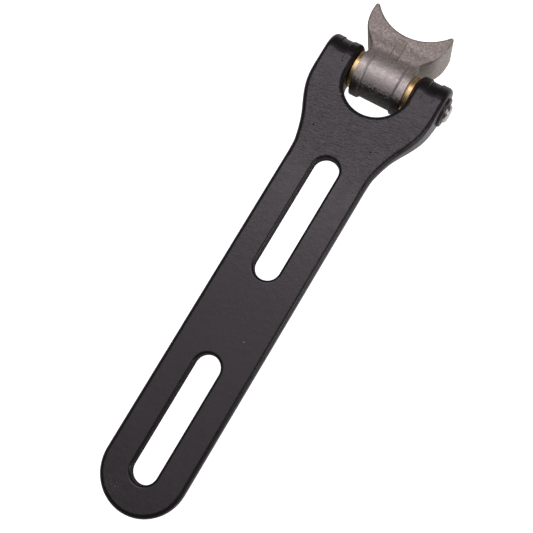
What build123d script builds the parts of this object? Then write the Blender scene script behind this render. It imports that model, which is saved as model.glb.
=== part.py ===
# Seat hinge: a slotted seat bar with a forked end, and a weld-on frame mount that turns on
# a pin between the two ears of the fork.
# Frame: +X along the hinge pin, +Y along the bar towards the frame mount, +Z up out of the
# flat face of the bar. The origin is the centre of the two-slot pattern on that flat face.
from build123d import *
import math
import os

os.makedirs("parts", exist_ok=True)

# ---- driving dimensions, mm ----
bar_width = 31.75
bar_thickness = 4.8
bar_edge_radius = 1.8
end_margin = 16.1

slot_spacing = 81.5
slot_length = 50.0
slot_width = 9.6
slot_edge_radius = 1.3

hinge_y = 103.3
ear_radius = 8.8
ear_half_outer = 24.7
ear_half_gap = 12.25
ear_bore_d = 6.45
crotch_y = 86.05
waist_inner_x = 16.2
waist_outer_x = 20.6
waist_depth = 0.5
waist_flare = 1.2
ramp_start_y = 69.0
ramp_degrees = 33
flare_start_y = 58.0
ear_side_y = 95.5

barrel_half_length = 9.85
barrel_radius = 9.0
barrel_setback = 0.5
collar_radius = 9.35
collar_inner_x = 6.1
collar_inner_round = 0.7
collar_outer_round = 1.1
collar_chamfer = 0.9
neck_half_width = 9.6
neck_end_y = 110.4
saddle_radius = 19.05
saddle_nearest_y = 119.6
horn_half_width = 15.9
horn_widest_y = 121.3
horn_bulge = 0.1
horn_end_y = 129.5
mount_height = 17.6
mount_edge_radius = 0.7
tip_radius = 0.9
dip_depth = 1.2
dip_low_y = 112.2
dip_end_y = 118.6
pad_width = 3.4
pad_start_y = 109.7
pad_end_y = 117.4
pad_rise = 0.22

bush_outer_d = 12.7
bush_bore_d = 9.6
bush_flange_d = 14.6
bush_flange_t = 2.15
bush_body_length = 8.6
bush_edge = 0.25

sleeve_outer_d = 9.53
sleeve_bore_d = 6.5
pin_d = 6.35
pin_head_d = 9.6
pin_head_t = 1.6
pin_head_clearance = 0.05
pin_dome_d = 6.9
pin_dome_t = 1.1
pin_dome_round = 1.0
washer_d = 11.2
washer_t = 1.0
washer_edge = 0.35
ring_d = 7.7
ring_t = 0.35

# sketches that are extruded right through the part start this far out and are twice as deep
through = 40.0
past = 1.0
seam_tolerance = 0.05
flat_tolerance = 0.01

# ---- derived positions ----
half_width = bar_width / 2
slot_travel = slot_length - slot_width
free_end_y = -(slot_spacing / 2 + slot_travel / 2 + end_margin)
axis_z = -ear_radius
ear_end_y = hinge_y + ear_radius
saddle_y = saddle_nearest_y + saddle_radius
mount_top = axis_z + mount_height / 2
mount_bottom = axis_z - mount_height / 2
barrel_top = axis_z + barrel_radius
barrel_bottom = axis_z - barrel_radius

# the ramp under the fork runs on to the round of the ear at this point
ramp_angle = math.radians(ramp_degrees)
ramp_end_y = hinge_y - ear_radius * math.sin(ramp_angle)
ramp_end_z = axis_z - ear_radius * math.cos(ramp_angle)

# ---- seat bar: slotted tail, fork and two ears ----
with BuildPart() as seat_bar:
    # side view: flat top, round ear, ramp under the fork, thin tail
    with BuildSketch(Plane.YZ.offset(-through)) as bar_side:
        with BuildLine():
            Line((free_end_y - past, -bar_thickness), (free_end_y - past, 0))
            Line((free_end_y - past, 0), (hinge_y, 0))
            ThreePointArc((hinge_y, 0), (ear_end_y, axis_z), (ramp_end_y, ramp_end_z))
            Spline(
                (ramp_end_y, ramp_end_z),
                (ramp_start_y, -bar_thickness),
                tangents=((-math.cos(ramp_angle), math.sin(ramp_angle)), (-1, 0)),
            )
            Line((ramp_start_y, -bar_thickness), (free_end_y - past, -bar_thickness))
        make_face()
    extrude(amount=2 * through)
    # plan outline: one half drawn, then mirrored
    with BuildSketch(Plane.XY.offset(-through)) as bar_plan:
        with BuildLine():
            Line((0, ear_end_y + past), (ear_half_outer, ear_end_y + past))
            Line((ear_half_outer, ear_end_y + past), (ear_half_outer, ear_side_y))
            Spline(
                (ear_half_outer, ear_side_y),
                (23.8, 87.4),
                (21.45, 81.2),
                (18.65, 75.0),
                (16.75, 68.8),
                (half_width, flare_start_y),
                tangents=((0, -1), (0, -1)),
            )
            Line((half_width, flare_start_y), (half_width, free_end_y + half_width))
            RadiusArc((half_width, free_end_y + half_width), (0, free_end_y), half_width)
            Line((0, free_end_y), (0, ear_end_y + past))
        make_face()
        mirror(about=Plane.YZ)
        # the U between the ears
        with Locations((0, crotch_y + ear_half_gap)):
            Circle(ear_half_gap, mode=Mode.SUBTRACT)
        with Locations((0, crotch_y + ear_half_gap + through / 2)):
            Rectangle(2 * ear_half_gap, through, mode=Mode.SUBTRACT)
        # the two bolt slots
        with Locations((0, slot_spacing / 2), (0, -slot_spacing / 2)):
            SlotOverall(slot_length, slot_width, rotation=90, mode=Mode.SUBTRACT)
    extrude(amount=2 * through, mode=Mode.INTERSECT)
    # sort the edges into slot rims, outer rims and plain corners
    slot_rims = []
    outer_rims = []
    for edge in seat_bar.edges():
        box = edge.bounding_box()
        upright = box.size.X < flat_tolerance and box.size.Y < flat_tolerance
        across = box.size.Y < flat_tolerance and box.size.Z < flat_tolerance
        near_slots = abs(box.center().X) < slot_width and abs(box.center().Y) < ramp_start_y
        in_slot = near_slots and box.size.X < slot_width + past
        if upright or across:
            continue
        if in_slot:
            slot_rims.append(edge)
        else:
            outer_rims.append(edge)
    fillet(slot_rims, slot_edge_radius)
    # the slot fillets renew the edge list, so the outer rims are found again by their centres
    rim_centres = [edge.center() for edge in outer_rims]
    outer_now = []
    for edge in seat_bar.edges():
        for spot in rim_centres:
            if (edge.center() - spot).length < seam_tolerance:
                outer_now.append(edge)
                break
    fillet(outer_now, bar_edge_radius)
    # shallow waist round the end of each ear, fading into the flat face
    with BuildSketch(Plane.XZ.offset(-(hinge_y - waist_depth))) as waist_cut:
        for side in (-1, 1):
            with BuildLine():
                Polyline(
                    (side * (waist_inner_x + waist_depth), 0),
                    (side * (waist_outer_x - waist_depth), 0),
                    (side * (waist_outer_x + waist_flare), waist_flare + waist_depth),
                    (side * (waist_inner_x - waist_flare), waist_flare + waist_depth),
                    (side * (waist_inner_x + waist_depth), 0),
                )
            make_face()
    revolve(
        axis=Axis((0, hinge_y - waist_depth, axis_z), (1, 0, 0)),
        revolution_arc=-180,
        mode=Mode.SUBTRACT,
    )
    # pin bores through both ears
    with BuildSketch(Plane.YZ.offset(-through)) as pin_bores:
        with Locations((hinge_y, axis_z)):
            Circle(ear_bore_d / 2)
    extrude(amount=2 * through, mode=Mode.SUBTRACT)
    # countersink for the pin head in the outer face of the left ear
    with BuildSketch(Plane.XZ.offset(-hinge_y)) as head_seat:
        with BuildLine():
            Polyline(
                (-ear_half_outer - past, axis_z),
                (-ear_half_outer - past, axis_z + pin_head_d / 2 + pin_head_clearance),
                (-ear_half_outer, axis_z + pin_head_d / 2 + pin_head_clearance),
                (-ear_half_outer + pin_head_t, axis_z + ear_bore_d / 2),
                (-ear_half_outer + pin_head_t, axis_z),
                (-ear_half_outer - past, axis_z),
            )
        make_face()
    revolve(axis=Axis((0, hinge_y, axis_z), (1, 0, 0)), mode=Mode.SUBTRACT)

seat_bar.part.label = "seat_bar"
export_step(seat_bar.part, "parts/seat_bar.step")

# ---- frame mount: barrel, neck and saddle ----
with BuildPart() as frame_mount:
    # side view of neck and saddle: a shallow dip between barrel and saddle, top and bottom
    with BuildSketch(Plane.YZ.offset(-through)) as mount_side:
        with BuildLine():
            Line((hinge_y, barrel_bottom), (hinge_y, barrel_top))
            Spline(
                (hinge_y, barrel_top),
                (dip_low_y, mount_top - dip_depth),
                (dip_end_y, mount_top),
                tangents=((1, 0), (1, 0)),
            )
            Line((dip_end_y, mount_top), (horn_end_y + past, mount_top))
            Line((horn_end_y + past, mount_top), (horn_end_y + past, mount_bottom))
            Line((horn_end_y + past, mount_bottom), (dip_end_y, mount_bottom))
            Spline(
                (dip_end_y, mount_bottom),
                (dip_low_y, mount_bottom + dip_depth),
                (hinge_y, barrel_bottom),
                tangents=((-1, 0), (-1, 0)),
            )
        make_face()
    extrude(amount=2 * through)
    # plan view: straight neck, flare, horns and the tube saddle
    with BuildSketch(Plane.XY.offset(-through)) as mount_plan:
        with BuildLine():
            Line((0, hinge_y), (neck_half_width, hinge_y))
            Line((neck_half_width, hinge_y), (neck_half_width, neck_end_y))
            Spline(
                (neck_half_width, neck_end_y),
                (10.6, 112.5),
                (14.5, 116.7),
                (horn_half_width + horn_bulge, horn_widest_y),
                (horn_half_width, horn_end_y),
                tangents=((0, 1), (-0.03, 1)),
            )
            Line((horn_half_width, horn_end_y), (0, horn_end_y))
            Line((0, horn_end_y), (0, hinge_y))
        make_face()
        mirror(about=Plane.YZ)
        with Locations((0, saddle_y)):
            Circle(saddle_radius, mode=Mode.SUBTRACT)
        # the two horn tips are the only corners this far from the hinge
        tips = [v for v in mount_plan.vertices() if v.Y > horn_widest_y + 4]
        fillet(tips, tip_radius)
    extrude(amount=2 * through, mode=Mode.INTERSECT)
    mount_rims = []
    for edge in frame_mount.edges():
        box = edge.bounding_box()
        upright = box.size.X < flat_tolerance and box.size.Y < flat_tolerance
        across = box.size.Y < flat_tolerance and box.size.Z < flat_tolerance
        if box.center().Y > hinge_y + barrel_setback and not upright and not across:
            mount_rims.append(edge)
    fillet(mount_rims, mount_edge_radius)
    # low plain pad on the neck: it follows the dip, a little proud of it
    with BuildSketch(Plane.YZ.offset(-pad_width / 2)) as pad:
        with BuildLine():
            Line((hinge_y, axis_z), (hinge_y, barrel_top + pad_rise))
            Spline(
                (hinge_y, barrel_top + pad_rise),
                (dip_low_y, mount_top - dip_depth + pad_rise),
                (dip_end_y, mount_top + pad_rise),
                tangents=((1, 0), (1, 0)),
            )
            Line((dip_end_y, mount_top + pad_rise), (dip_end_y, axis_z))
            Line((dip_end_y, axis_z), (hinge_y, axis_z))
        make_face()
        with Locations(((pad_start_y + pad_end_y) / 2, axis_z + mount_height / 2)):
            Rectangle(pad_end_y - pad_start_y, mount_height / 2, mode=Mode.INTERSECT)
    extrude(amount=pad_width)
    # barrel round the hinge axis, set back a little so that its two collars stand proud
    with BuildSketch(Plane.YZ.offset(-collar_inner_x - past)) as barrel:
        with Locations((hinge_y + barrel_setback, axis_z)):
            Circle(barrel_radius)
    extrude(amount=2 * (collar_inner_x + past))
    for side in (-1, 1):
        with BuildSketch(Plane.XZ.offset(-hinge_y)) as collar:
            with BuildLine():
                Polyline(
                    (side * collar_inner_x, axis_z),
                    (side * collar_inner_x, axis_z + collar_radius - collar_chamfer),
                    (side * (collar_inner_x + collar_chamfer), axis_z + collar_radius),
                    (side * barrel_half_length, axis_z + collar_radius),
                    (side * barrel_half_length, axis_z),
                    (side * collar_inner_x, axis_z),
                )
            make_face()
            high = [v for v in collar.vertices() if v.Z > axis_z + collar_radius - flat_tolerance]
            fillet([v for v in high if abs(v.X) < barrel_half_length - past], collar_inner_round)
            high = [v for v in collar.vertices() if v.Z > axis_z + collar_radius - flat_tolerance]
            outer = [v for v in high if abs(v.X) > barrel_half_length - flat_tolerance]
            fillet(outer, collar_outer_round)
        revolve(axis=Axis((0, hinge_y, axis_z), (1, 0, 0)))
    # bore for the two bushes
    with BuildSketch(Plane.YZ.offset(-through)) as mount_bore:
        with Locations((hinge_y, axis_z)):
            Circle(bush_outer_d / 2)
    extrude(amount=2 * through, mode=Mode.SUBTRACT)

frame_mount.part.label = "frame_mount"
export_step(frame_mount.part, "parts/frame_mount.step")

# ---- flanged bushes, one in each end of the barrel ----
# half section of a bush: side is +1 for the right end of the barrel and -1 for the left
def bush_section(side):
    inner_end = side * (barrel_half_length - bush_body_length)
    shoulder = side * barrel_half_length
    flange_face = side * (barrel_half_length + bush_flange_t)
    with BuildSketch(Plane.XZ.offset(-hinge_y)) as section:
        with BuildLine():
            Polyline(
                (inner_end, axis_z + bush_bore_d / 2),
                (inner_end, axis_z + bush_outer_d / 2),
                (shoulder, axis_z + bush_outer_d / 2),
                (shoulder, axis_z + bush_flange_d / 2),
                (flange_face, axis_z + bush_flange_d / 2),
                (flange_face, axis_z + bush_bore_d / 2),
                (inner_end, axis_z + bush_bore_d / 2),
            )
        make_face()
        rim_z = axis_z + bush_flange_d / 2
        rims = [v for v in section.vertices() if v.Z > rim_z - flat_tolerance]
        fillet(rims, bush_edge)
    return section.sketch


with BuildPart() as bush_right:
    add(bush_section(1))
    revolve(axis=Axis((0, hinge_y, axis_z), (1, 0, 0)))

bush_right.part.label = "bush_right"
export_step(bush_right.part, "parts/bush_right.step")

with BuildPart() as bush_left:
    add(bush_section(-1))
    revolve(axis=Axis((0, hinge_y, axis_z), (1, 0, 0)))

bush_left.part.label = "bush_left"
export_step(bush_left.part, "parts/bush_left.step")

# ---- steel sleeve between the ears, the bushes turn on it ----
with BuildPart() as pivot_sleeve:
    with BuildSketch(Plane.YZ.offset(-ear_half_gap)) as sleeve_ring:
        with Locations((hinge_y, axis_z)):
            Circle(sleeve_outer_d / 2)
            Circle(sleeve_bore_d / 2, mode=Mode.SUBTRACT)
    extrude(amount=2 * ear_half_gap)

pivot_sleeve.part.label = "pivot_sleeve"
export_step(pivot_sleeve.part, "parts/pivot_sleeve.step")

# ---- pivot pin: countersunk head flush in the left ear, domed end on the right ear ----
dome_base = ear_half_outer + washer_t + ring_t
with BuildPart() as pivot_pin:
    with BuildSketch(Plane.XZ.offset(-hinge_y)) as pin_half:
        with BuildLine():
            Polyline(
                (-ear_half_outer, axis_z),
                (dome_base + pin_dome_t, axis_z),
                (dome_base + pin_dome_t, axis_z + pin_dome_d / 2),
                (dome_base, axis_z + pin_dome_d / 2),
                (dome_base, axis_z + pin_d / 2),
                (-ear_half_outer + pin_head_t, axis_z + pin_d / 2),
                (-ear_half_outer, axis_z + pin_head_d / 2),
                (-ear_half_outer, axis_z),
            )
        make_face()
    revolve(axis=Axis((0, hinge_y, axis_z), (1, 0, 0)))
    ends = pivot_pin.edges().filter_by(GeomType.CIRCLE)
    dome_rim = [e for e in ends if e.center().X > dome_base + pin_dome_t - flat_tolerance]
    fillet(dome_rim, pin_dome_round)

pivot_pin.part.label = "pivot_pin"
export_step(pivot_pin.part, "parts/pivot_pin.step")

# ---- washer on the right ear and the thin ring under the domed end ----
with BuildPart() as end_washer:
    with BuildSketch(Plane.YZ.offset(ear_half_outer)) as washer_disc:
        with Locations((hinge_y, axis_z)):
            Circle(washer_d / 2)
    extrude(amount=washer_t)
    rims = end_washer.edges().filter_by(GeomType.CIRCLE)
    fillet([e for e in rims if e.center().X > ear_half_outer + washer_t / 2], washer_edge)
    with BuildSketch(Plane.YZ) as washer_bore:
        with Locations((hinge_y, axis_z)):
            Circle(ear_bore_d / 2)
    extrude(amount=through, mode=Mode.SUBTRACT)

end_washer.part.label = "end_washer"
export_step(end_washer.part, "parts/end_washer.step")

with BuildPart() as end_ring:
    with BuildSketch(Plane.YZ.offset(ear_half_outer + washer_t)) as ring_disc:
        with Locations((hinge_y, axis_z)):
            Circle(ring_d / 2)
            Circle(ear_bore_d / 2, mode=Mode.SUBTRACT)
    extrude(amount=ring_t)

end_ring.part.label = "end_ring"
export_step(end_ring.part, "parts/end_ring.step")
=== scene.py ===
import bpy
from mathutils import Matrix, Vector


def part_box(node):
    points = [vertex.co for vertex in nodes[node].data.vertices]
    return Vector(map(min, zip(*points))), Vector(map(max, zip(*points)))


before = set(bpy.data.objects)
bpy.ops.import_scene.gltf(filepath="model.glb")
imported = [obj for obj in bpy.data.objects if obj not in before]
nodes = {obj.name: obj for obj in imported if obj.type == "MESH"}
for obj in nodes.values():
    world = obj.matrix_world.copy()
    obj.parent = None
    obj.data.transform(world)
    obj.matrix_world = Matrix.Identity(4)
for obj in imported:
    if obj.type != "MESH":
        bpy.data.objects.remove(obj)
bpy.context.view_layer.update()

# ---- places in the part; all lengths here are metres ----
HINGE_Y = 0.1033
AXIS_Z = -0.0088
# the floor lies just under everything that the mount sweeps as it swings down
FLOOR_GAP = 0.001
_, mount_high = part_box("frame_mount")
SWEEP = Vector((mount_high.y - HINGE_Y, mount_high.z - AXIS_Z)).length
FLOOR_Z = AXIS_Z - SWEEP - FLOOR_GAP

# ---- mesh finish: smooth shading between crisp edges, tiny bevels on the turned pieces ----
SMOOTH_ANGLE = 0.61
BEVEL_WIDTH = {"bush_left": 0.00012, "bush_right": 0.00012, "end_ring": 0.00005}
BEVEL_SEGMENTS = 2
# rays that the shader's rounded edges take
EDGE_SAMPLES = 6


def smooth(obj):
    for face in obj.data.polygons:
        face.use_smooth = True
    if obj.name in BEVEL_WIDTH:
        bevel = obj.modifiers.new("edge", "BEVEL")
        bevel.width = BEVEL_WIDTH[obj.name]
        bevel.segments = BEVEL_SEGMENTS
        bevel.limit_method = "ANGLE"
        bevel.angle_limit = SMOOTH_ANGLE
    bpy.context.view_layer.objects.active = obj
    obj.select_set(True)
    bpy.ops.object.shade_smooth_by_angle(angle=SMOOTH_ANGLE)
    obj.select_set(False)


for node in nodes.values():
    smooth(node)


# ---- node helpers ----
class Shader:
    """A material being built: each method adds nodes and returns the socket they give."""

    def __init__(self, name):
        self.material = bpy.data.materials.new(name)
        self.material.use_nodes = True
        self.tree = self.material.node_tree
        self.bsdf = self.tree.nodes["Principled BSDF"]
        self.place = self.tree.nodes.new("ShaderNodeTexCoord").outputs["Object"]

    def link(self, source, target):
        """Feeds a socket from another socket, a number or a colour."""
        if isinstance(source, (int, float)):
            target.default_value = source
        elif isinstance(source, tuple):
            target.default_value = (*source, 1)
        else:
            self.tree.links.new(source, target)

    def scaled(self, scale, source=None):
        node = self.tree.nodes.new("ShaderNodeMapping")
        node.inputs["Scale"].default_value = scale
        self.link(source or self.place, node.inputs["Vector"])
        return node.outputs["Vector"]

    def turned(self, angle):
        """Place in axes turned by angle about z."""
        node = self.tree.nodes.new("ShaderNodeMapping")
        node.inputs["Rotation"].default_value = (0.0, 0.0, -angle)
        self.link(self.place, node.inputs["Vector"])
        return node.outputs["Vector"]

    def noise(self, scale, detail=3.0, rough=0.55, vector=None, warp=0.0):
        node = self.tree.nodes.new("ShaderNodeTexNoise")
        node.inputs["Scale"].default_value = scale
        node.inputs["Detail"].default_value = detail
        node.inputs["Roughness"].default_value = rough
        node.inputs["Distortion"].default_value = warp
        self.link(vector or self.place, node.inputs["Vector"])
        return node.outputs["Fac"]

    def cells(self, scale):
        """Distance from the nearest of many scattered points."""
        node = self.tree.nodes.new("ShaderNodeTexVoronoi")
        node.inputs["Scale"].default_value = scale
        self.link(self.place, node.inputs["Vector"])
        return node.outputs["Distance"]

    def ramp(self, source, low, high, out_low=0.0, out_high=1.0):
        """Goes smoothly from out_low to out_high as source goes from low to high."""
        node = self.tree.nodes.new("ShaderNodeMapRange")
        node.interpolation_type = "SMOOTHSTEP"
        self.link(source, node.inputs["Value"])
        self.link(low, node.inputs["From Min"])
        self.link(high, node.inputs["From Max"])
        self.link(out_low, node.inputs["To Min"])
        self.link(out_high, node.inputs["To Max"])
        return node.outputs["Result"]

    def falls(self, source, full, gone):
        """1 up to full, falling smoothly to 0 at gone."""
        return self.ramp(source, full, gone, 1.0, 0.0)

    def math(self, operation, a, b=0.0):
        node = self.tree.nodes.new("ShaderNodeMath")
        node.operation = operation
        self.link(a, node.inputs[0])
        self.link(b, node.inputs[1])
        return node.outputs[0]

    def times(self, a, b):
        return self.math("MULTIPLY", a, b)

    def minus(self, a, b):
        return self.math("SUBTRACT", a, b)

    def outside(self, mask):
        """1 where mask is 0, and the other way round."""
        return self.minus(1.0, mask)

    def most(self, a, b):
        return self.math("MAXIMUM", a, b)

    def unsigned(self, source):
        return self.math("ABSOLUTE", source)

    def far(self, a, b):
        """Distance from the middle, given the two ways off it."""
        return self.math("SQRT", self.math("ADD", self.times(a, a), self.times(b, b)))

    def mix(self, factor, a, b):
        node = self.tree.nodes.new("ShaderNodeMix")
        node.data_type = "RGBA"
        # a Mix node of colours takes its factor at socket 0 and the colours at 6 and 7
        self.link(factor, node.inputs[0])
        self.link(a, node.inputs[6])
        self.link(b, node.inputs[7])
        return node.outputs[2]

    def paint(self, under, over, mask, share):
        """Lays the colour over on under where mask says, no more strongly than share."""
        return self.mix(self.times(mask, share), under, over)

    def axes(self):
        node = self.tree.nodes.new("ShaderNodeSeparateXYZ")
        self.link(self.place, node.inputs[0])
        return node.outputs[0], node.outputs[1], node.outputs[2]

    def bump(self, height, distance, strength, under=None):
        node = self.tree.nodes.new("ShaderNodeBump")
        node.inputs["Distance"].default_value = distance
        node.inputs["Strength"].default_value = strength
        self.link(height, node.inputs["Height"])
        if under is not None:
            self.link(under, node.inputs["Normal"])
        return node.outputs["Normal"]

    def soft_edges(self, radius):
        node = self.tree.nodes.new("ShaderNodeBevel")
        node.samples = EDGE_SAMPLES
        node.inputs["Radius"].default_value = radius
        return node.outputs["Normal"]

    def band(self, source, centre, half, fade):
        """1 within half of centre along source, falling to 0 over fade."""
        away = self.unsigned(self.minus(source, centre))
        return self.falls(away, half, half + fade)

    def spot(self, x, y, radius, fade):
        """1 in a round spot of the flat face, seen from above."""
        px, py, _ = self.axes()
        away = self.far(self.minus(px, x), self.minus(py, y))
        return self.falls(away, radius, radius + fade)

    def finish(self, colour, roughness, normal, metallic=0.0):
        self.link(colour, self.bsdf.inputs["Base Color"])
        self.link(roughness, self.bsdf.inputs["Roughness"])
        self.bsdf.inputs["Metallic"].default_value = metallic
        self.link(normal, self.bsdf.inputs["Normal"])
        return self.material


def dress(material, *names, slot):
    for name in names:
        obj = nodes[name]
        obj.data.materials.clear()
        obj.data.materials.append(material)


# ---- black powder coat over a forged bar ----
COAT_DARK = (0.0085, 0.0058, 0.0072)
COAT_LIGHT = (0.0130, 0.0095, 0.0115)
COAT_PIT = (0.004, 0.0035, 0.004)
SCUFF_GREY = (0.30, 0.30, 0.30)
CHIP_TAN = (0.17, 0.12, 0.08)
COAT_SPECULAR = 0.60

# marks on the flat face: x, y, radius, fade
SCUFF = (-0.0069, -0.0706, 0.0018, 0.0022)
PALE_SPECK = (0.0067, -0.0064, 0.00012, 0.00025)
CHIP = (-0.0098, 0.0888, 0.0002, 0.0004)

# how fine each texture is along x, y and z
PEEL_SCALE = (650, 1500, 1200)
RIPPLE_SCALE = (340, 1750, 340)
SCUFF_SCALE = (900, 2600, 900)
SKIN_SCALE = 420
PIT_SCALE = 210
PIT_PATCH_SCALE = 60
STRAY_PIT_SCALE = 125
COAT_CLOUD_SCALE = 38
COAT_WEAR_SCALE = 260

# the wrinkles run this far off the pin's axis, radians, in a zone round the fork's root
RIPPLE_TURN = 0.17
ROOT_Y, ROOT_HALF, ROOT_FADE = 0.0760, 0.008, 0.020

# machining lines across the ears
EAR_LINES_X = (0.0162, -0.0162, 0.0206, -0.0206)
EAR_LINE_HALF, EAR_LINE_FADE = 0.00006, 0.00012
EARS_FROM_Y, EARS_FULL_Y = 0.0985, 0.1015

# where the walls of the two slots are
SLOT_HALF, SLOT_FADE = 0.0051, 0.0004
SLOT_DEEP_Z, SLOT_RIM_Z = -0.0011, -0.0006
SLOTS_TO_Y, SLOTS_END_Y = 0.070, 0.075

# roughness of the coat
COAT_GLOSSY, COAT_SATIN = 0.275, 0.325
FURROW_ROUGH = 0.35
PIT_ROUGH = 0.9
SLOT_ROUGH = 0.85

# depth of the coat's relief
COAT_EDGE_RADIUS = 0.00012
PEEL_DEPTH = 0.000022
SKIN_DEPTH = 0.00010
RIPPLE_DEPTH = 0.00014
COAT_PIT_DEPTH = 0.00002
EAR_LINE_DEPTH = 0.00006


def bar_coating():
    m = Shader("bar_coating")
    x, y, z = m.axes()
    # fine orange peel, the skin of the forging under it, and short ripples near the fork's root
    peel = m.noise(1.0, rough=0.6, vector=m.scaled(PEEL_SCALE), warp=0.8)
    skin = m.noise(SKIN_SCALE, detail=4.0, rough=0.62)
    ripple_place = m.scaled(RIPPLE_SCALE, m.turned(RIPPLE_TURN))
    ripple = m.noise(1.0, detail=2.0, vector=ripple_place, warp=0.6)
    root = m.band(y, ROOT_Y, ROOT_HALF, ROOT_FADE)
    furrows = m.times(m.falls(ripple, 0.30, 0.42), root)
    # pits in patches and a few strays: 0 in a pit, 1 elsewhere
    pits = m.ramp(m.cells(PIT_SCALE), 0.055, 0.12)
    pit_patches = m.ramp(m.noise(PIT_PATCH_SCALE, detail=2.0), 0.60, 0.68)
    pits = m.most(pits, m.outside(pit_patches))
    stray = m.ramp(m.cells(STRAY_PIT_SCALE), 0.030, 0.055)
    pits = m.math("MINIMUM", pits, stray)
    in_pits = m.outside(pits)
    # colour: slightly purple charcoal with soft clouding and dark pits
    cloud = m.ramp(m.noise(COAT_CLOUD_SCALE, detail=4.0, rough=0.6), 0.3, 0.7)
    colour = m.mix(cloud, COAT_DARK, COAT_LIGHT)
    colour = m.mix(in_pits, colour, COAT_PIT)
    # scuffs near the free end and a small pale speck by the slots
    scuff_noise = m.noise(1.0, detail=2.0, rough=0.7, vector=m.scaled(SCUFF_SCALE))
    scuffs = m.times(m.ramp(scuff_noise, 0.60, 0.68), m.spot(*SCUFF))
    scuffs = m.most(scuffs, m.spot(*PALE_SPECK))
    colour = m.paint(colour, SCUFF_GREY, scuffs, share=0.85)
    # tan chip on the rim of the crotch
    colour = m.paint(colour, CHIP_TAN, m.spot(*CHIP), share=0.8)
    lines = 0.0
    for at in EAR_LINES_X:
        lines = m.most(lines, m.band(x, at, EAR_LINE_HALF, EAR_LINE_FADE))
    lines = m.times(lines, m.ramp(y, EARS_FROM_Y, EARS_FULL_Y))
    # the coat is duller in the furrows, and dull in the pits and down inside the slots
    wear = m.ramp(m.noise(COAT_WEAR_SCALE, detail=4.0, rough=0.6), 0.30, 0.70,
                  COAT_GLOSSY, COAT_SATIN)
    wear = m.most(wear, m.times(furrows, FURROW_ROUGH))
    wear = m.most(wear, m.times(in_pits, PIT_ROUGH))
    in_slot = m.times(m.band(x, 0.0, SLOT_HALF, SLOT_FADE),
                      m.falls(z, SLOT_DEEP_Z, SLOT_RIM_Z))
    in_slot = m.times(in_slot, m.falls(y, SLOTS_TO_Y, SLOTS_END_Y))
    wear = m.most(wear, m.times(in_slot, SLOT_ROUGH))
    normal = m.bump(peel, PEEL_DEPTH, strength=0.8, under=m.soft_edges(COAT_EDGE_RADIUS))
    normal = m.bump(skin, SKIN_DEPTH, strength=0.8, under=normal)
    normal = m.bump(m.times(ripple, root), RIPPLE_DEPTH, strength=0.8, under=normal)
    normal = m.bump(pits, COAT_PIT_DEPTH, strength=0.6, under=normal)
    normal = m.bump(lines, EAR_LINE_DEPTH, strength=0.6, under=normal)
    m.bsdf.inputs["Specular IOR Level"].default_value = COAT_SPECULAR
    return m.finish(colour, wear, normal)


# ---- raw investment-cast steel ----
STEEL_DARK = (0.366, 0.325, 0.284)
STEEL_LIGHT = (0.418, 0.374, 0.330)
STEEL_SPECKLE = (0.74, 0.69, 0.65)
STEEL_SHADOW = (0.19, 0.165, 0.15)
# colour of the barrel's painted highlight, over real rubbed wear
STEEL_RUBBED_HIGHLIGHT = (0.84, 0.79, 0.75)
# colour of the painted shade in the dip
STEEL_DIP_SHADE = (0.16, 0.135, 0.125)
STEEL_PIT = (0.20, 0.175, 0.165)
# pale colour of the painted glints, a painted highlight
STEEL_GLINT = (0.85, 0.81, 0.78)
# colour of the painted shade in the collar steps
COLLAR_STEP_SHADE = (0.10, 0.085, 0.08)
# colour of the painted shade along the pad's edges
PAD_EDGE_SHADE = (0.12, 0.10, 0.09)
PAD_BROWN = (0.30, 0.255, 0.215)
# colour of the painted shade on the barrel's low front
BARREL_FRONT_SHADE = (0.030, 0.026, 0.025)
STEEL_METALLIC = 0.78
STEEL_SMOOTH, STEEL_ROUGH = 0.47, 0.58

# how fine each texture is
GRAIN_SCALE = 1150
LUMP_SCALE = 420
STEEL_PIT_SCALE = 700
STEEL_PIT_PATCH_SCALE = 160
STEEL_CLOUD_SCALE = 85
SPECKLE_SCALE = 1400
SHADOW_SCALE = 1200
SHADOW_STRETCH = (1.0, 1.3, 1.0)
EDGE_SCALE = 1300
GLINT_SCALE = 2800
STEEL_WEAR_SCALE = 900

# the barrel is painted bright up to the first y, a painted highlight over real rubbed wear, and
# the lighter paint ends by the second
RUBBED_HIGHLIGHT_TO_Y, RUBBED_HIGHLIGHT_END_Y = 0.1035, 0.1085
# the step between the barrel and each collar, from the middle, where shade is painted
STEP_X, STEP_HALF, STEP_FADE = 0.0063, 0.00012, 0.00030
STEP_TO_Y, STEP_END_Y = 0.1060, 0.1110
# the low dip between barrel and saddle, where shade is painted
DIP_Y, DIP_HALF, DIP_FADE = 0.1126, 0.0014, 0.0040
# the low pad on the mount's neck, and the height from which a face is the neck's upper one
PAD_HALF_WIDTH = 0.0017
PAD_MIDDLE_Y = 0.11355
PAD_HALF_LENGTH = 0.00385
PAD_FADE = 0.0002
PAD_LINE_HALF, PAD_LINE_FADE = 0.00008, 0.00022
UPPER_FROM_Z, UPPER_FULL_Z = -0.0030, -0.0025
# painted shade, near black, low on the front of the barrel, with a ragged edge this deep
FRONT_TO_Y, FRONT_END_Y = 0.0960, 0.0985
RAGGED = 0.0045

# depth of the steel's relief
STEEL_EDGE_RADIUS = 0.00022
LUMP_DEPTH = 0.00013
GRAIN_DEPTH = 0.00015
STEEL_PIT_DEPTH = 0.00004


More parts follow.
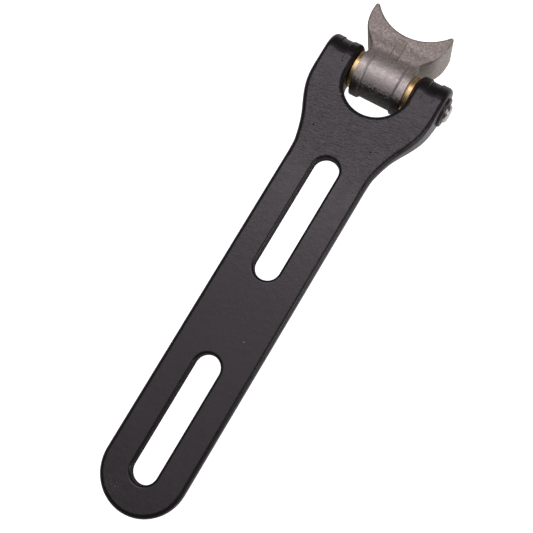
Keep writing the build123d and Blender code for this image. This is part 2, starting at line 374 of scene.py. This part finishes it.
def cast_steel():
    m = Shader("cast_steel")
    x, y, z = m.axes()
    grain = m.noise(GRAIN_SCALE, rough=0.65)
    lumps = m.noise(LUMP_SCALE, detail=2.0, rough=0.5)
    # pits in patches: 0 in a pit, 1 elsewhere
    pits = m.ramp(m.cells(STEEL_PIT_SCALE), 0.05, 0.20)
    pit_patches = m.ramp(m.noise(STEEL_PIT_PATCH_SCALE, detail=2.0), 0.56, 0.66)
    pits = m.most(pits, m.outside(pit_patches))
    cloud = m.ramp(m.noise(STEEL_CLOUD_SCALE, detail=4.0, rough=0.6), 0.3, 0.7)
    colour = m.mix(cloud, STEEL_DARK, STEEL_LIGHT)
    speckle = m.ramp(m.noise(SPECKLE_SCALE, rough=0.65), 0.45, 0.66)
    colour = m.paint(colour, STEEL_SPECKLE, speckle, share=0.50)
    shadow_noise = m.noise(SHADOW_SCALE, rough=0.65, vector=m.scaled(SHADOW_STRETCH))
    shadow = m.ramp(shadow_noise, 0.34, 0.46, 0.32, 0.0)
    colour = m.mix(shadow, colour, STEEL_SHADOW)
    # painted highlight: the barrel is painted brighter than the neck, a painted highlight over
    # real rubbed wear
    rubbed_highlight = m.falls(y, RUBBED_HIGHLIGHT_TO_Y, RUBBED_HIGHLIGHT_END_Y)
    colour = m.paint(colour, STEEL_RUBBED_HIGHLIGHT, rubbed_highlight, share=0.68)
    # painted shade: the step where each collar meets the barrel is painted dark
    step_shade = m.band(m.unsigned(x), STEP_X, STEP_HALF, STEP_FADE)
    step_shade = m.times(step_shade, m.falls(y, STEP_TO_Y, STEP_END_Y))
    colour = m.paint(colour, COLLAR_STEP_SHADE, step_shade, share=0.55)
    # painted shade: the low dip between barrel and saddle is painted a little darker
    dip_shade = m.band(y, DIP_Y, DIP_HALF, DIP_FADE)
    colour = m.paint(colour, STEEL_DIP_SHADE, dip_shade, share=0.22)
    colour = m.mix(m.outside(pits), colour, STEEL_PIT)
    # painted shade: dark lines painted along the edges of the low pad
    on_top = m.ramp(z, UPPER_FROM_Z, UPPER_FULL_Z)
    across = m.band(x, 0.0, PAD_HALF_WIDTH, PAD_FADE)
    along = m.band(y, PAD_MIDDLE_Y, PAD_HALF_LENGTH, PAD_FADE)
    side_edge = m.band(m.unsigned(x), PAD_HALF_WIDTH, PAD_LINE_HALF, PAD_LINE_FADE)
    end_edge = m.band(m.unsigned(m.minus(y, PAD_MIDDLE_Y)),
                      PAD_HALF_LENGTH, PAD_LINE_HALF, PAD_LINE_FADE)
    pad_edge_shade = m.most(m.times(side_edge, along), m.times(end_edge, across))
    pad_edge_shade = m.times(pad_edge_shade, on_top)
    colour = m.paint(colour, PAD_EDGE_SHADE, pad_edge_shade, share=0.36)
    # the pad itself is a little browner than the neck
    pad = m.times(m.times(across, along), on_top)
    colour = m.paint(colour, PAD_BROWN, pad, share=0.30)
    # painted shade: the low front of the barrel is painted near black, with a ragged edge
    ragged = m.times(m.minus(m.noise(EDGE_SCALE, rough=0.65), 0.5), RAGGED)
    front_shade = m.falls(m.math("ADD", ragged, y), FRONT_TO_Y, FRONT_END_Y)
    colour = m.paint(colour, BARREL_FRONT_SHADE, front_shade, share=0.93)
    # painted highlights: tiny pale glints painted into the colour of the cast skin
    glints = m.ramp(m.noise(GLINT_SCALE, detail=1.0, rough=0.5), 0.68, 0.80, 0.0, 0.7)
    colour = m.mix(glints, colour, STEEL_GLINT)
    wear = m.ramp(m.noise(STEEL_WEAR_SCALE, detail=2.0), 0.35, 0.65,
                  STEEL_SMOOTH, STEEL_ROUGH)
    normal = m.bump(lumps, LUMP_DEPTH, strength=0.75, under=m.soft_edges(STEEL_EDGE_RADIUS))
    normal = m.bump(grain, GRAIN_DEPTH, strength=0.9, under=normal)
    normal = m.bump(pits, STEEL_PIT_DEPTH, strength=0.6, under=normal)
    return m.finish(colour, wear, normal, STEEL_METALLIC)


# ---- turned bronze ----
BRONZE_STAINED = (1.0, 0.65, 0.27)
BRONZE_CLEAN = (1.0, 0.82, 0.45)
BRONZE_RING_SCALE = (5200, 60, 60)
BRONZE_STAIN_SCALE = 260
BRONZE_GRAIN_SCALE = 1400
BRONZE_RING_DEPTH = 0.000018
BRONZE_GRAIN_DEPTH = 0.00001


def bronze():
    m = Shader("bronze")
    rings = m.noise(1.0, detail=2.0, rough=0.5, vector=m.scaled(BRONZE_RING_SCALE))
    stain = m.ramp(m.noise(BRONZE_STAIN_SCALE, detail=4.0, rough=0.6), 0.32, 0.7)
    colour = m.mix(stain, BRONZE_STAINED, BRONZE_CLEAN)
    wear = m.ramp(rings, 0.3, 0.7, 0.32, 0.44)
    normal = m.bump(rings, BRONZE_RING_DEPTH, strength=0.7)
    grain = m.noise(BRONZE_GRAIN_SCALE, detail=2.0)
    normal = m.bump(grain, BRONZE_GRAIN_DEPTH, strength=0.6, under=normal)
    return m.finish(colour, wear, normal, metallic=1.0)


# ---- ground steel, plated pin, washer and ring: fine rings round the hinge axis ----
# a ring every 0.3 mm, as radians of the wave per metre
RING_WAVE = 21000.0
RING_DEPTH = 0.00001
SCRATCH_SCALE = (3600, 300, 300)
SCRATCH_DEPTH = 0.00002
STAIN_SCALE = 520

# piece: slot, stained colour, clean colour, roughness from and to, metallic
TURNED = {
    "pivot_sleeve": ("ground_steel", (0.45, 0.45, 0.46), (0.62, 0.62, 0.63), 0.2, 0.3, 1.0),
    "pivot_pin": ("plated_steel", (0.50, 0.48, 0.47), (0.74, 0.73, 0.72), 0.22, 0.36, 1.0),
    "end_washer": ("black_washer", (0.020, 0.019, 0.021), (0.045, 0.043, 0.047),
                   0.28, 0.42, 0.0),
    "end_ring": ("copper_ring", (0.40, 0.24, 0.18), (0.62, 0.42, 0.34), 0.30, 0.42, 1.0),
}


def turned_metal(name, stained, clean, low_rough, high_rough, metallic):
    m = Shader(name)
    _, y, z = m.axes()
    radius = m.far(m.minus(y, HINGE_Y), m.minus(z, AXIS_Z))
    rings = m.math("SINE", m.times(radius, RING_WAVE))
    scratch = m.noise(1.0, detail=2.0, rough=0.6, vector=m.scaled(SCRATCH_SCALE))
    stain = m.ramp(m.noise(STAIN_SCALE, detail=4.0, rough=0.62), 0.3, 0.7)
    colour = m.mix(stain, stained, clean)
    wear = m.ramp(scratch, 0.3, 0.7, low_rough, high_rough)
    normal = m.bump(rings, RING_DEPTH, strength=0.5)
    normal = m.bump(scratch, SCRATCH_DEPTH, strength=0.6, under=normal)
    return m.finish(colour, wear, normal, metallic)


dress(bar_coating(), "seat_bar", slot="bar_coating")
dress(cast_steel(), "frame_mount", slot="cast_steel")
dress(bronze(), "bush_left", "bush_right", slot="bronze")
for piece, (slot, *look) in TURNED.items():
    dress(turned_metal(slot, *look), piece, slot=slot)


# ---- studio: plain white floor and surroundings, dim except where the camera sees them ----
WHITE = (1, 1, 1, 1)
FLOOR_HALF = 4.0
FLOOR_COLOUR = (0.95, 0.95, 0.95, 1)
FLOOR_ROUGH = 0.9
FLOOR_SPECULAR = 0.1
FLOOR_GLOW = 0.12
STUDIO_GLOW = 0.08


def camera_only(tree, dim, socket):
    """Gives the socket 1 where the camera sees the stage, and dim for the light it gives."""
    seen = tree.nodes.new("ShaderNodeLightPath")
    shade = tree.nodes.new("ShaderNodeMapRange")
    shade.inputs["To Min"].default_value = dim
    shade.inputs["To Max"].default_value = 1.0
    tree.links.new(seen.outputs["Is Camera Ray"], shade.inputs["Value"])
    tree.links.new(shade.outputs["Result"], socket)


floor_mesh = bpy.data.meshes.new("floor")
floor_mesh.from_pydata(
    [(-FLOOR_HALF, -FLOOR_HALF, FLOOR_Z), (FLOOR_HALF, -FLOOR_HALF, FLOOR_Z),
     (FLOOR_HALF, FLOOR_HALF, FLOOR_Z), (-FLOOR_HALF, FLOOR_HALF, FLOOR_Z)],
    [], [(0, 1, 2, 3)])
floor = bpy.data.objects.new("floor", floor_mesh)
bpy.context.scene.collection.objects.link(floor)
ground = bpy.data.materials.new("ground")
ground.use_nodes = True
ground_bsdf = ground.node_tree.nodes["Principled BSDF"]
ground_bsdf.inputs["Base Color"].default_value = FLOOR_COLOUR
ground_bsdf.inputs["Roughness"].default_value = FLOOR_ROUGH
ground_bsdf.inputs["Specular IOR Level"].default_value = FLOOR_SPECULAR
ground_bsdf.inputs["Emission Color"].default_value = WHITE
camera_only(ground.node_tree, FLOOR_GLOW, ground_bsdf.inputs["Emission Strength"])
floor_mesh.materials.append(ground)

world = bpy.data.worlds.new("studio")
world.use_nodes = True
background = world.node_tree.nodes["Background"]
background.inputs["Color"].default_value = WHITE
camera_only(world.node_tree, STUDIO_GLOW, background.inputs["Strength"])
bpy.context.scene.world = world
bpy.context.scene.view_settings.view_transform = "Standard"

# ---- camera, solved for the photographed view ----
CAMERA_AT = Vector((0.065160, -0.019076, 0.300704))
FORWARD = Vector((-0.21081877, 0.12717605, -0.96921705))
UP = Vector((-0.48088751, 0.84973455, 0.21609813))
SENSOR_WIDTH = 36.0
LENS = 59.75
NEAREST = 0.01

camera_data = bpy.data.cameras.new("camera")
camera_data.sensor_width = SENSOR_WIDTH
camera_data.lens = LENS
camera_data.clip_start = NEAREST
camera = bpy.data.objects.new("camera", camera_data)
right = FORWARD.cross(UP).normalized()
up = right.cross(FORWARD).normalized()
turn = Matrix((right, up, -FORWARD)).transposed()
camera.matrix_world = Matrix.Translation(CAMERA_AT) @ turn.to_4x4()
bpy.context.scene.collection.objects.link(camera)
bpy.context.scene.camera = camera


# ---- soft studio light: place, target, size in metres, watts ----
def soft_box(name, place, target, size, power, colour=(1, 1, 1), glossy=True):
    data = bpy.data.lights.new(name, "AREA")
    data.shape = "RECTANGLE"
    data.size, data.size_y = size
    data.energy = power
    data.color = colour
    light = bpy.data.objects.new(name, data)
    aim = (Vector(target) - Vector(place)).to_track_quat("-Z", "Y")
    light.matrix_world = Matrix.Translation(place) @ aim.to_matrix().to_4x4()
    light.visible_glossy = glossy
    bpy.context.scene.collection.objects.link(light)


MIDDLE = (0, 0.03, 0)
ROSY = (1.0, 0.90, 0.985)
soft_box("top", (-0.25, 0.15, 1.05), (-0.25, 0.15, 0), (1.0, 1.00), 2.55, ROSY)
soft_box("rear strip", (-0.22, 0.40, 1.00), (-0.22, 0.40, 0), (0.9, 0.28), 1.6, ROSY)
# lights the right wall of the fork from beside it, without showing in reflections
soft_box("ground", (0.17, 0.07, 0.07), (0.035, 0.085, -0.018), (0.10, 0.08), 0.13,
         glossy=False)
soft_box("side", (0.85, 0.15, 0.40), MIDDLE, (0.25, 0.5), 0.9)
